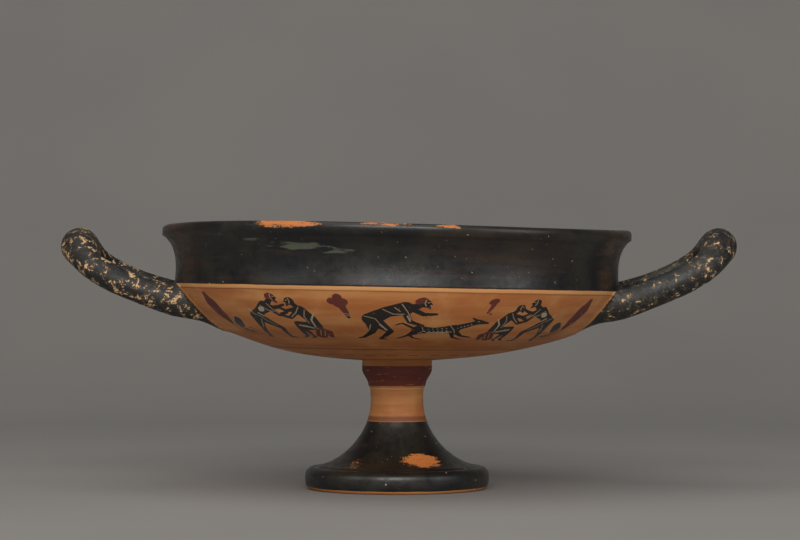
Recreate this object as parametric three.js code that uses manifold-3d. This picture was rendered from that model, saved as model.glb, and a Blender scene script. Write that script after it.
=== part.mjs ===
// A black-figure kylix of the band-cup kind: a wide, shallow wheel-turned drinking cup on a
// stemmed foot, with two horizontal loop handles pulled up to the level of the rim. Bowl, stem,
// foot and handles were joined with wet clay and fired together, so the cup is one hollow solid.
//
// Units are millimetres and +Z is up. The origin is the centre of the foot's resting plane, the
// handles point along +X and -X, and radii are measured from the axis of the foot.

import * as THREE from 'three';
import { mergeVertices } from 'three/addons/utils/BufferGeometryUtils.js';
import Module from 'manifold-3d';

const wasm = await Module();
wasm.setup();

// ---- Driving dimensions -------------------------------------------------------------------

const TURNING_STEPS = 56; // facets around the axis, a multiple of four

// Rim and lip
const RIM_TOP = 116.8;
const RIM_RADIUS = 105.2;
const RIM_ROUNDING = 1.9; // radius of the rim's rounded top edge, inside and out
const RIM_FACE_FOOT = 112.4; // height at which the rim's upright face turns into the lip
const LIP_THICKNESS = 3.6;

// Bowl
const CARINATION_RADIUS = 99.7; // where lip and bowl meet in a soft edge
const CARINATION_HEIGHT = 90.4;
const TURN_RADIUS = 75.6; // where the shallow floor begins to rise into the side
const TURN_HEIGHT = 69.1;
const TURN_SLOPE = THREE.MathUtils.degToRad(19.5);
const FLOOR_THICKNESS = 5.8;
const SIDE_THICKNESS = 4.7;

// Fillet ring and stem
const FILLET_RADIUS = 15.7;
const FILLET_TOP = 57.5;
const FILLET_SHOULDER = 53.3;
const FILLET_BASE_RADIUS = 12.8;
const FILLET_BASE = 46.3;
const STEM_RADIUS = 11.75;
const STEM_WAIST = 40;

// Foot
const FLARE_END_RADIUS = 35.5;
const FLARE_END_HEIGHT = 10.3;
const GROOVE_DEPTH = 0.6; // groove between the flare and the foot's rounded edge
const FOOT_RADIUS = 41.3;
const FOOT_EDGE_TOP = 9.9;
const FOOT_EDGE_ROUNDING = 3.7;
const FOOT_SIDE_BASE = 4.6;
const REST_OUTER_RADIUS = 38.8;
const REST_INNER_RADIUS = 31;
const REST_CHAMFER = 1.4;
const BORE_RADIUS = 5.2; // the cone under the foot narrows to this inside the stem
const BORE_TOP = 38;
const BORE_END = 43;

// Handles
const ARCH_RADIUS = 21; // half the distance between the two arms of a handle
const TWIST = 1.2; // how much higher the arm on the +Y side lies than the other
const ARM_LINE = [ // middle of an arm, radius and height, from inside the wall to the tip
  [76.5, 75.2], [86, 80], [95, 83.5], [106, 86.6],
  [119, 91.2], [130, 96], [138.5, 101.5], [145, 108.8],
];
const ROOT_FLARE = 0.36; // how much thicker the arm is where it leaves the bowl
const FLARE_LENGTH = 46;
const ROOT_TAPER = 0.62; // the arm's end inside the wall is thinner by this share
const TAPER_LENGTH = 26;
const TIP_SPREAD = 23; // length along the loop over which the rod thickens to its tip
const ROOT_LEAN = 0.4; // share of the bowl's lean that the handle roots follow
const HANDLE_STEPS = 34;
const HANDLE_SIDES = 12;
const HANDLES = [
  { side: -1, rod: 11.9, tipRod: 16.8, reach: 151.2 },
  { side: 1, rod: 12.9, tipRod: 16.4, reach: 153 },
];

// The bowl sits a little askew on its stem, lower towards +X, and its rim is slightly warped.
const LEAN = THREE.MathUtils.degToRad(1.1);
const LEAN_START = 57;
const LEAN_FULL = 70;
const RIM_LEAN = THREE.MathUtils.degToRad(0.5);
const RIM_WARP = 1.05; // rise and fall of the rim, two waves to a turn

// A shallow chip under the near arm of the +X handle.
const CHIP_RADIUS = 2.6;
const CHIP_CENTRE = new THREE.Vector3(135.5, -22, 90.2);

// ---- Profile of the turned body -----------------------------------------------------------

const point = (radius, height) => new THREE.Vector2(radius, height);

function bend(from, pullFrom, pullTo, to, steps) {
  return new THREE.CubicBezierCurve(from, pullFrom, pullTo, to).getPoints(steps);
}

function arc(centre, radius, startDegrees, endDegrees, steps) {
  const start = THREE.MathUtils.degToRad(startDegrees);
  const end = THREE.MathUtils.degToRad(endDegrees);
  const curve = new THREE.EllipseCurve(centre.x, centre.y, radius, radius, start, end, end < start);
  return curve.getPoints(steps);
}

function joined(...stretches) {
  const points = stretches.flat();
  return points.filter((p, i) => i === 0 || p.distanceTo(points[i - 1]) > 1e-6);
}

const carination = point(CARINATION_RADIUS, CARINATION_HEIGHT);
const turn = point(TURN_RADIUS, TURN_HEIGHT);
const alongTurn = (distance) => point(
  turn.x + distance * Math.cos(TURN_SLOPE),
  turn.y + distance * Math.sin(TURN_SLOPE),
);

// From the resting plane up the outside to the rim.
function outsideProfile() {
  const flareEnd = point(FLARE_END_RADIUS, FLARE_END_HEIGHT);
  const filletTop = point(FILLET_RADIUS, FILLET_TOP);
  const filletBase = point(FILLET_BASE_RADIUS, FILLET_BASE);
  const edgeCentre = point(FOOT_RADIUS - FOOT_EDGE_ROUNDING, FOOT_EDGE_TOP - FOOT_EDGE_ROUNDING);
  const rimCentre = point(RIM_RADIUS - RIM_ROUNDING, RIM_TOP - RIM_ROUNDING);
  return joined(
    bend(point(REST_OUTER_RADIUS, 0), point(REST_OUTER_RADIUS + 1.7, 0.3),
      point(FOOT_RADIUS, 1.8), point(FOOT_RADIUS, FOOT_SIDE_BASE), 3),
    arc(edgeCentre, FOOT_EDGE_ROUNDING, 0, 90, 3),
    [point(FLARE_END_RADIUS + 0.7, FLARE_END_HEIGHT - GROOVE_DEPTH)],
    bend(flareEnd, point(24.8, 12.2), point(STEM_RADIUS - 0.15, 24.5),
      point(STEM_RADIUS, STEM_WAIST), 8),
    [point(STEM_RADIUS + 0.3, FILLET_BASE - 1.2)],
    bend(filletBase, point(13.1, 49.6), point(15.4, 50.8),
      point(FILLET_RADIUS, FILLET_SHOULDER), 3),
    [filletTop],
    bend(point(FILLET_RADIUS + 0.8, FILLET_TOP + 0.2), point(39.8, FILLET_TOP + 1.9),
      alongTurn(-25), turn, 6),
    bend(turn, alongTurn(9.4), point(94.4, 81.2), carination, 5),
    bend(carination, point(99.5, 94.4), point(97.2, 107.4),
      point(RIM_RADIUS, RIM_FACE_FOOT), 7),
    arc(rimCentre, RIM_ROUNDING, 0, 90, 3),
  );
}

// From the rim down the inside to the middle of the bowl's floor.
function insideProfile() {
  const rimInner = point(RIM_RADIUS - 2 * RIM_ROUNDING, RIM_TOP - RIM_ROUNDING);
  const sideTop = point(CARINATION_RADIUS - 0.9 * SIDE_THICKNESS, CARINATION_HEIGHT + 3);
  const turnInner = point(
    turn.x - SIDE_THICKNESS * Math.sin(TURN_SLOPE),
    turn.y + SIDE_THICKNESS * Math.cos(TURN_SLOPE),
  );
  const floor = FILLET_TOP + FLOOR_THICKNESS;
  return joined(
    arc(point(rimInner.x + RIM_ROUNDING, rimInner.y), RIM_ROUNDING, 90, 180, 2),
    bend(rimInner, point(98.6 - LIP_THICKNESS, 107.2),
      point(98.9 - LIP_THICKNESS, 99.5), sideTop, 5),
    bend(sideTop, point(90.6, 85.2), point(82.2, turnInner.y + 2.8), turnInner, 4),
    bend(turnInner, point(52, floor + 2.4), point(30, floor + 0.3), point(0, floor), 5),
  );
}

// From the axis inside the stem down the hollow under the foot to the resting ring.
function undersideProfile() {
  return joined(
    bend(point(0, BORE_END), point(3.4, BORE_END), point(BORE_RADIUS - 0.2, BORE_END - 1.4),
      point(BORE_RADIUS, BORE_TOP), 3),
    bend(point(BORE_RADIUS, BORE_TOP), point(8, 16), point(22.5, 11),
      point(REST_INNER_RADIUS - REST_CHAMFER, REST_CHAMFER), 6),
    [point(REST_INNER_RADIUS, 0)],
  );
}

// ---- Solids -------------------------------------------------------------------------------

function solidFrom(geometry) {
  const bare = geometry.clone();
  bare.deleteAttribute('normal');
  bare.deleteAttribute('uv');
  const welded = mergeVertices(bare, 1e-4);
  return new wasm.Manifold(new wasm.Mesh({
    numProp: 3,
    vertProperties: new Float32Array(welded.attributes.position.array),
    triVerts: withoutSlivers(welded.index.array),
  }));
}

// Where a profile meets the axis, a facet has only two different corners and is dropped.
function withoutSlivers(index) {
  const kept = [];
  for (let i = 0; i < index.length; i += 3) {
    const [a, b, c] = [index[i], index[i + 1], index[i + 2]];
    if (a !== b && b !== c && c !== a) kept.push(a, b, c);
  }
  return new Uint32Array(kept);
}

function geometryFrom(solid) {
  const mesh = solid.getMesh();
  const geometry = new THREE.BufferGeometry();
  geometry.setAttribute('position', new THREE.BufferAttribute(mesh.vertProperties, 3));
  geometry.setIndex(new THREE.BufferAttribute(mesh.triVerts, 1));
  geometry.computeVertexNormals();
  return geometry;
}

// How far the wall is moved up at a place: the bowl's lean, and the rim's own lean and warp.
function settling(x, y, z) {
  const { smoothstep, clamp, lerp } = THREE.MathUtils;
  const leaning = smoothstep(z, LEAN_START, LEAN_FULL);
  const rimShare = clamp((z - CARINATION_HEIGHT) / (RIM_TOP - CARINATION_HEIGHT), 0, 1);
  const slope = lerp(Math.tan(LEAN), Math.tan(RIM_LEAN), rimShare);
  const warp = RIM_WARP * Math.sin(2 * Math.atan2(y, x)) * rimShare;
  return leaning * (warp - x * slope);
}

function settled(geometry) {
  const position = geometry.attributes.position;
  for (let i = 0; i < position.count; i += 1) {
    const [x, y, z] = [position.getX(i), position.getY(i), position.getZ(i)];
    position.setZ(i, z + settling(x, y, z));
  }
  return geometry;
}

function turned(profile) {
  const geometry = new THREE.LatheGeometry(profile, TURNING_STEPS);
  geometry.rotateX(Math.PI / 2);
  return solidFrom(settled(geometry));
}

// The space inside the bowl and the inner part of its wall, which a handle may not enter.
function insideOfWall() {
  const intoWall = 1.6;
  const wall = insideProfile().map((p) => point(p.x > 0 ? p.x + intoWall : 0, p.y - intoWall));
  return turned([...wall.reverse(), point(0, RIM_TOP + intoWall)]);
}

// ---- Handles ------------------------------------------------------------------------------

// One arm runs out along a rising curve, turns through a half circle at the tip and comes back.
// The roots follow part of the bowl's lean; the tips are level with each other.
class HandleLoop extends THREE.Curve {
  constructor({ side, tipRod, reach }) {
    super();
    this.side = side;
    const [root, tip] = [ARM_LINE[0], ARM_LINE[ARM_LINE.length - 1]];
    const stretch = (reach - tipRod / 2 - root[0]) / (tip[0] - root[0]);
    this.rise = new THREE.SplineCurve(ARM_LINE.map(([radius, height]) => {
      const share = (tip[0] - radius) / (tip[0] - root[0]);
      const drop = side * radius * Math.tan(LEAN) * ROOT_LEAN * share;
      return point(root[0] + (radius - root[0]) * stretch, height - drop);
    }));
    this.riseLength = this.rise.getLength();
    this.armLength = this.riseLength - ARCH_RADIUS;
    this.total = 2 * this.armLength + Math.PI * ARCH_RADIUS;
  }

  // Distance out along the rise, and distance sideways, at a distance along the loop.
  laidFlat(distance) {
    const back = this.total - this.armLength;
    if (distance < this.armLength) return [distance, -ARCH_RADIUS];
    if (distance > back) return [this.total - distance, ARCH_RADIUS];
    const angle = (distance - this.armLength) / ARCH_RADIUS;
    return [this.armLength + ARCH_RADIUS * Math.sin(angle), -ARCH_RADIUS * Math.cos(angle)];
  }

  getPoint(t, target = new THREE.Vector3()) {
    const [out, sideways] = this.laidFlat(t * this.total);
    const rise = this.rise.getPointAt(out / this.riseLength);
    const lift = (TWIST / 2) * (sideways / ARCH_RADIUS);
    return target.set(this.side * rise.x, sideways, rise.y + lift);
  }
}

// Half the rod's thickness at a distance from the nearer root.
function rodRadius({ rod, tipRod }, fromRoot, halfLoop) {
  const flare = 1 + ROOT_FLARE * (1 - THREE.MathUtils.smoothstep(fromRoot, 0, FLARE_LENGTH));
  const taper = 1 - ROOT_TAPER * (1 - THREE.MathUtils.smoothstep(fromRoot, 0, TAPER_LENGTH));
  const tip = THREE.MathUtils.smoothstep(fromRoot, halfLoop - TIP_SPREAD, halfLoop);
  return THREE.MathUtils.lerp(rod, tipRod, tip) * flare * taper / 2;
}

// A straight rod of the right section is bent along the loop and given its thickness.
function handle(measures) {
  const loop = new HandleLoop(measures);
  const frames = loop.computeFrenetFrames(HANDLE_STEPS);
  const section = new THREE.Shape().absarc(0, 0, 1, 0, 2 * Math.PI);
  const geometry = new THREE.ExtrudeGeometry(section, {
    depth: 1,
    steps: HANDLE_STEPS,
    curveSegments: HANDLE_SIDES / 2, // an arc is given two sides to a segment
    bevelEnabled: false,
  });
  const position = geometry.attributes.position;
  for (let i = 0; i < position.count; i += 1) {
    const along = position.getZ(i);
    const fromRoot = Math.min(along, 1 - along) * loop.total;
    const radius = rodRadius(measures, fromRoot, loop.total / 2);
    const step = Math.round(along * HANDLE_STEPS);
    const place = loop.getPointAt(along)
      .addScaledVector(frames.normals[step], radius * position.getX(i))
      .addScaledVector(frames.binormals[step], radius * position.getY(i));
    position.setXYZ(i, place.x, place.y, place.z);
  }
  return solidFrom(geometry);
}

function chip() {
  const geometry = new THREE.SphereGeometry(CHIP_RADIUS, 12, 8);
  geometry.translate(CHIP_CENTRE.x, CHIP_CENTRE.y, CHIP_CENTRE.z);
  return solidFrom(geometry);
}

// ---- The cup ------------------------------------------------------------------------------

function cup() {
  let solid = turned([
    ...undersideProfile(),
    ...outsideProfile(),
    ...insideProfile().slice(1),
  ]);
  const inside = insideOfWall();
  for (const measures of HANDLES) {
    solid = solid.add(handle(measures).subtract(inside));
  }
  solid = solid.subtract(chip());
  const mesh = new THREE.Mesh(geometryFrom(solid), new THREE.MeshStandardMaterial({
    color: 0x2b2926, // black-gloss slip; the reserved clay is near 0xac7548
    roughness: 0.42,
    metalness: 0,
  }));
  mesh.name = 'cup';
  return mesh;
}

const kylix = new THREE.Group();
kylix.add(cup());

export default kylix;
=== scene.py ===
import math

import bmesh
import bpy
import numpy as np
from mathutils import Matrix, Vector


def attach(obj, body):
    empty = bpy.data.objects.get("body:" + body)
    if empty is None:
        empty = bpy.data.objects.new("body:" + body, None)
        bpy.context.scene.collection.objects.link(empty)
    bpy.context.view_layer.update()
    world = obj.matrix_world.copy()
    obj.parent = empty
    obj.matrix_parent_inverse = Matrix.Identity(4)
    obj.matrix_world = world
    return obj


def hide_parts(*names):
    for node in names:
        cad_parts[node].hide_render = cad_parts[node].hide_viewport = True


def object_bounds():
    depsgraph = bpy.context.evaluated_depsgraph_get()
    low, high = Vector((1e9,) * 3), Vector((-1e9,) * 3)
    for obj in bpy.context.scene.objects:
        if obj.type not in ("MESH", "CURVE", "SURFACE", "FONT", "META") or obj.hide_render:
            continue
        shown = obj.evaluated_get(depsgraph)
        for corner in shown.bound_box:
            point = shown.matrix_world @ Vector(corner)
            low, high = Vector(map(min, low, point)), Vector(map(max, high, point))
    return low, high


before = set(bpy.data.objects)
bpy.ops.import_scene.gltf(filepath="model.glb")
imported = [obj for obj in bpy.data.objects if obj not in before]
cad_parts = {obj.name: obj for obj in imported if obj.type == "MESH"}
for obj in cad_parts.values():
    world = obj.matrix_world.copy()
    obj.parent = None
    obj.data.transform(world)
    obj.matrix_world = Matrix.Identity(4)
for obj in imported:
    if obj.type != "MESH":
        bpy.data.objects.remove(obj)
cad_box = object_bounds()

MM = 0.001

# ---- Sizes of the turned wall ---------------------------------------------------------------

FACETS_AROUND = 240
RIM_TOP = 116.8
RIM_RADIUS = 105.2
RIM_ROUNDING = 1.9
RIM_FACE_FOOT = 112.4
RIM_GROOVE_HEIGHT = 111.6
RIM_GROOVE_DEPTH = 0.25
LIP_THICKNESS = 3.6
CARINATION = (99.7, 90.4)
TURN = (75.6, 69.1)
TURN_SLOPE = math.radians(19.5)
FLOOR_THICKNESS = 5.8
SIDE_THICKNESS = 4.7
FILLET_RADIUS = 15.7
FILLET_TOP = 57.5
FILLET_SHOULDER = 53.3
FILLET_BASE = (12.8, 46.3)
STEM_RADIUS = 11.75
STEM_WAIST = 40.0
FLARE_END = (35.5, 10.3)
FOOT_GROOVE = (36.2, 9.7)
FOOT_RADIUS = 41.3
FOOT_EDGE_TOP = 9.9
FOOT_EDGE_ROUNDING = 3.7
FOOT_SIDE_BASE = 4.6
REST_OUTER_RADIUS = 38.8
REST_INNER_RADIUS = 31.0
REST_CHAMFER = 1.4
BORE_RADIUS = 5.2
BORE_TOP = 38.0
BORE_END = 43.0

# The bowl leans a little on its stem and the rim is slightly warped.
LEAN = math.radians(1.1)
LEAN_START = 57.0
LEAN_FULL = 70.0
RIM_LEAN = math.radians(0.5)
RIM_WARP = 1.05

# ---- Sizes of the handles -------------------------------------------------------------------

ARCH_RADIUS = 21.0
TWIST = 1.2
ARM_LINE = (
    (76.5, 75.2), (86, 80), (95, 83.5), (106, 86.6),
    (119, 91.2), (130, 96), (138.5, 101.5), (145, 108.8),
)
ROOT_FLARE = 0.36
FLARE_LENGTH = 46.0
ROOT_TAPER = 0.62
TAPER_LENGTH = 26.0
TIP_SPREAD = 23.0
ROOT_LEAN = 0.4
HANDLE_STEPS = 120
HANDLE_SIDES = 36
HANDLES = (
    {"side": -1, "rod": 11.9, "tip_rod": 16.8, "reach": 151.0},
    {"side": 1, "rod": 12.9, "tip_rod": 16.4, "reach": 152.8},
)
LEFT_FLAKING = 1.0  # how far the gloss has flaked off each handle
RIGHT_FLAKING = 0.7
HANDLE_UNEVENNESS = 0.22  # height of the lumps left by rolling the rod by hand
CHIP_CENTRE = (135.5, -22.0, 90.2)
CHIP_RADIUS = 2.6
ROOT_BLEND = 4.5  # width over which wet clay smooths a handle into the wall

# ---- Painting ---------------------------------------------------------------------------------

BAND_RADIUS = 88.0  # radius at which the width of a figure is measured
GROUND_LINE = 36.0  # distance down the wall from the carination on which the figures stand
SPLIT_REACHES = (2.2, 0.7, 0.24)  # faces nearer to a painted edge than each are split again
OVAL_MARKS = 30  # short brush marks round the bowl
FARTHEST = 6.0  # painted distances are cut off here


# ---- Profile ----------------------------------------------------------------------------------

def bend(start, pull_start, pull_end, end, steps):
    """Points on a cubic curve, both ends included."""
    t = np.linspace(0.0, 1.0, steps + 1)[:, None]
    a, b, c, d = (np.array(p, float) for p in (start, pull_start, pull_end, end))
    return (1 - t) ** 3 * a + 3 * t * (1 - t) ** 2 * b + 3 * t ** 2 * (1 - t) * c + t ** 3 * d


def arc(centre, radius, start_degrees, end_degrees, steps):
    angle = np.radians(np.linspace(start_degrees, end_degrees, steps + 1))
    return np.stack([centre[0] + radius * np.cos(angle), centre[1] + radius * np.sin(angle)], 1)


def joined(stretches):
    """One run of points from several, without doubled corners."""
    points = np.concatenate([np.atleast_2d(np.array(s, float)) for s in stretches])
    step = np.linalg.norm(np.diff(points, axis=0), axis=1)
    return points[np.concatenate([[True], step > 1e-6])]


def along_turn(distance):
    return (TURN[0] + distance * math.cos(TURN_SLOPE), TURN[1] + distance * math.sin(TURN_SLOPE))


def underside_profile(fine):
    return joined([
        bend((0, BORE_END), (3.4, BORE_END), (5.0, 41.6), (BORE_RADIUS, BORE_TOP), 3 * fine),
        bend((BORE_RADIUS, BORE_TOP), (8, 16), (22.5, 11),
             (REST_INNER_RADIUS - REST_CHAMFER, REST_CHAMFER), 8 * fine),
        [(REST_INNER_RADIUS, 0)],
        [(0.5 * (REST_INNER_RADIUS + REST_OUTER_RADIUS), 0)],
    ])


def foot_profile(fine):
    edge_centre = (FOOT_RADIUS - FOOT_EDGE_ROUNDING, FOOT_EDGE_TOP - FOOT_EDGE_ROUNDING)
    return joined([
        bend((REST_OUTER_RADIUS, 0), (40.5, 0.3), (FOOT_RADIUS, 1.8),
             (FOOT_RADIUS, FOOT_SIDE_BASE), 5 * fine),
        arc(edge_centre, FOOT_EDGE_ROUNDING, 0, 90, 6 * fine),
        [FOOT_GROOVE],
        bend(FLARE_END, (24.8, 12.2), (11.6, 24.5), (STEM_RADIUS, STEM_WAIST), 16 * fine),
        [(STEM_RADIUS + 0.3, FILLET_BASE[1] - 1.2)],
    ])


def fillet_profile(fine):
    return joined([
        bend(FILLET_BASE, (13.1, 49.6), (15.4, 50.8), (FILLET_RADIUS, FILLET_SHOULDER), 5 * fine),
        bend((FILLET_RADIUS, FILLET_SHOULDER), (FILLET_RADIUS, 54.5),
             (FILLET_RADIUS, 56), (FILLET_RADIUS, FILLET_TOP), 2 * fine),
    ])


def bowl_profile(fine):
    return joined([
        bend((16.5, 57.7), (39.8, 59.4), along_turn(-25), TURN, 18 * fine),
        bend(TURN, along_turn(9.4), (94.4, 81.2), CARINATION, 15 * fine),
    ])


def lip_profile(fine):
    rim_centre = (RIM_RADIUS - RIM_ROUNDING, RIM_TOP - RIM_ROUNDING)
    lip = bend(CARINATION, (99.5, 94.4), (97.2, 107.4), (RIM_RADIUS, RIM_FACE_FOOT), 18 * fine)
    groove = np.exp(-((lip[:, 1] - RIM_GROOVE_HEIGHT) / 0.5) ** 2)
    lip[:, 0] -= RIM_GROOVE_DEPTH * groove
    return joined([lip, arc(rim_centre, RIM_ROUNDING, 0, 90, 5 * fine)])


def inside_profile(fine):
    rim_inner = (RIM_RADIUS - 2 * RIM_ROUNDING, RIM_TOP - RIM_ROUNDING)
    side_top = (CARINATION[0] - 0.9 * SIDE_THICKNESS, CARINATION[1] + 3)
    turn_inner = (
        TURN[0] - SIDE_THICKNESS * math.sin(TURN_SLOPE),
        TURN[1] + SIDE_THICKNESS * math.cos(TURN_SLOPE),
    )
    floor = FILLET_TOP + FLOOR_THICKNESS
    return joined([
        arc((rim_inner[0] + RIM_ROUNDING, rim_inner[1]), RIM_ROUNDING, 90, 180, 4 * fine),
        bend(rim_inner, (98.6 - LIP_THICKNESS, 107.2), (98.9 - LIP_THICKNESS, 99.5), side_top, 9 * fine),
        bend(side_top, (90.6, 85.2), (82.2, turn_inner[1] + 2.8), turn_inner, 8 * fine),
        bend(turn_inner, (52, floor + 2.4), (30, floor + 0.3), (0, floor), 18 * fine),
    ])


class Profile:
    """The closed outline of the wall's section, from the axis under the foot to the axis inside."""

    def __init__(self, fine):
        parts = {
            "underside": underside_profile(fine),
            "foot": foot_profile(fine),
            "fillet": fillet_profile(fine),
            "bowl": bowl_profile(fine),
            "lip": lip_profile(fine),
            "inside": inside_profile(fine),
        }
        self.points = joined(list(parts.values()))
        step = np.linalg.norm(np.diff(self.points, axis=0), axis=1)
        self.length = np.concatenate([[0.0], np.cumsum(step)])
        self.total = self.length[-1]
        self.span = {}
        for name, part in parts.items():
            self.span[name] = (self.at_point(part[0]), self.at_point(part[-1]))

    def at_point(self, point):
        nearest = np.argmin(np.linalg.norm(self.points - point, axis=1))
        return float(self.length[nearest])

    def at_height(self, part, height):
        """Length along the outline at which the named part first reaches a height."""
        start, end = self.span[part]
        inside = (self.length >= start) & (self.length <= end)
        heights = self.points[inside, 1]
        nearest = np.argmin(np.abs(heights - height))
        return float(self.length[inside][nearest])

    def project(self, radius, height):
        """Nearest place on the outline: its length, its point, and the signed distance outwards."""
        place = np.stack([radius, height], 1)
        start = self.points[:-1]
        edge = np.diff(self.points, axis=0)
        edge_length = np.linalg.norm(edge, axis=1)
        best = np.full(len(place), 1e9)
        length = np.zeros(len(place))
        spot = np.zeros_like(place)
        outward = np.zeros(len(place))
        for i in range(len(edge)):
            along = np.clip((place - start[i]) @ edge[i] / edge_length[i] ** 2, 0, 1)
            near = start[i] + along[:, None] * edge[i]
            away = np.linalg.norm(place - near, axis=1)
            closer = away < best
            best[closer] = away[closer]
            length[closer] = self.length[i] + along[closer] * edge_length[i]
            spot[closer] = near[closer]
            side = edge[i][1] * (place[:, 0] - start[i][0]) - edge[i][0] * (place[:, 1] - start[i][1])
            outward[closer] = np.where(side >= 0, away, -away)[closer]
        return length, spot, outward


wall_line = Profile(fine=2)


def smoothstep(value, low, high):
    share = np.clip((value - low) / (high - low), 0.0, 1.0)
    return share * share * (3 - 2 * share)


def settling(x, y, z):
    """How far the wall has moved up at a place, from the bowl's lean and the rim's warp."""
    leaning = smoothstep(z, LEAN_START, LEAN_FULL)
    rim_share = np.clip((z - CARINATION[1]) / (RIM_TOP - CARINATION[1]), 0, 1)
    slope = math.tan(LEAN) + (math.tan(RIM_LEAN) - math.tan(LEAN)) * rim_share
    warp = RIM_WARP * np.sin(2 * np.arctan2(y, x)) * rim_share
    return leaning * (warp - x * slope)


def unsettled(place):
    """Height a point had before the bowl settled, found in a few rounds."""
    height = place[:, 2].copy()
    for _ in range(4):
        height = place[:, 2] - settling(place[:, 0], place[:, 1], height)
    return height


# ---- Geometry nodes ---------------------------------------------------------------------------

class Tree:
    """A geometry node tree with named inputs."""

    def __init__(self, name, inputs):
        self.group = bpy.data.node_groups.new(name, "GeometryNodeTree")
        face = self.group.interface
        face.new_socket(name="Geometry", in_out="INPUT", socket_type="NodeSocketGeometry")
        face.new_socket(name="Geometry", in_out="OUTPUT", socket_type="NodeSocketGeometry")
        for label, (kind, _) in inputs.items():
            face.new_socket(name=label, in_out="INPUT", socket_type="NodeSocket" + kind)
        self.inputs = inputs
        self.entry = self.group.nodes.new("NodeGroupInput")
        self.exit = self.group.nodes.new("NodeGroupOutput")

    def node(self, kind, links=None, **settings):
        made = self.group.nodes.new(kind)
        for key, value in settings.items():
            setattr(made, key, value)
        for key, value in (links or {}).items():
            self.feed(made.inputs[key], value)
        return made

    def feed(self, socket, value):
        if isinstance(value, bpy.types.NodeSocket):
            self.group.links.new(value, socket)
        else:
            socket.default_value = value

    def math(self, operation, first, second=0.0):
        made = self.node("ShaderNodeMath", operation=operation)
        self.feed(made.inputs[0], first)
        self.feed(made.inputs[1], second)
        return made.outputs[0]

    def size(self, label):
        return self.entry.outputs[label]

    def finish(self, geometry):
        real = self.node("GeometryNodeRealizeInstances", {"Geometry": geometry})
        smooth = self.node("GeometryNodeSetShadeSmooth", {"Geometry": real.outputs[0]})
        coated = self.node("GeometryNodeSetMaterial", {
            "Geometry": smooth.outputs[0], "Material": self.size("Material"),
        })
        self.group.links.new(coated.outputs[0], self.exit.inputs["Geometry"])
        return self.group

    def apply(self, piece):
        """Runs the tree on a piece and gives the plain mesh it makes."""
        modifier = piece.modifiers.new(self.group.name, "NODES")
        modifier.node_group = self.group
        for item in self.group.interface.items_tree:
            if item.item_type == "SOCKET" and item.in_out == "INPUT" and item.name in self.inputs:
                modifier[item.identifier] = self.inputs[item.name][1]
        made = bpy.data.meshes.new_from_object(
            piece.evaluated_get(bpy.context.evaluated_depsgraph_get()))
        piece.modifiers.remove(modifier)
        return made


def line_object(name, points):
    """A run of points as a wire mesh in the scene."""
    mesh = bpy.data.meshes.new(name)
    edges = [(i, i + 1) for i in range(len(points) - 1)]
    mesh.from_pydata([tuple(p) for p in points], edges, [])
    piece = bpy.data.objects.new(name, mesh)
    bpy.context.scene.collection.objects.link(piece)
    return piece


def turning_tree(material):
    """Turns a profile, radius along X and height along Z, into a closed wall around the axis."""
    tree = Tree("turn_on_the_wheel", {
        "Facets around": ("Int", FACETS_AROUND),
        "Weld distance": ("Float", 1e-6),
        "Material": ("Material", material),
    })
    profile = tree.entry.outputs["Geometry"]
    count = tree.node("GeometryNodeAttributeDomainSize", {"Geometry": profile}, component="MESH")
    rows = count.outputs["Point Count"]
    columns = tree.math("ADD", tree.size("Facets around"), 1.0)
    grid = tree.node("GeometryNodeMeshGrid", {"Vertices X": columns, "Vertices Y": rows})
    index = tree.node("GeometryNodeInputIndex").outputs[0]
    row = tree.math("MODULO", index, rows)
    column = tree.math("FLOOR", tree.math("DIVIDE", index, rows))
    place = tree.node("GeometryNodeInputPosition").outputs[0]
    sample = tree.node("GeometryNodeSampleIndex", data_type="FLOAT_VECTOR", domain="POINT")
    tree.feed(sample.inputs["Geometry"], profile)
    tree.feed(sample.inputs["Value"], place)
    tree.feed(sample.inputs["Index"], row)
    parts = tree.node("ShaderNodeSeparateXYZ", {0: sample.outputs[0]})
    turn = tree.math("DIVIDE", tree.math("MULTIPLY", column, 2 * math.pi), tree.size("Facets around"))
    spot = tree.node("ShaderNodeCombineXYZ", {
        "X": tree.math("MULTIPLY", parts.outputs["X"], tree.math("COSINE", turn)),
        "Y": tree.math("MULTIPLY", parts.outputs["X"], tree.math("SINE", turn)),
        "Z": parts.outputs["Z"],
    })
    turned = tree.node("GeometryNodeSetPosition", {"Geometry": grid.outputs[0], "Position": spot.outputs[0]})
    welded = tree.node("GeometryNodeMergeByDistance", {
        "Geometry": turned.outputs[0], "Distance": tree.size("Weld distance"),
    })
    tree.finish(welded.outputs[0])
    return tree


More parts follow.
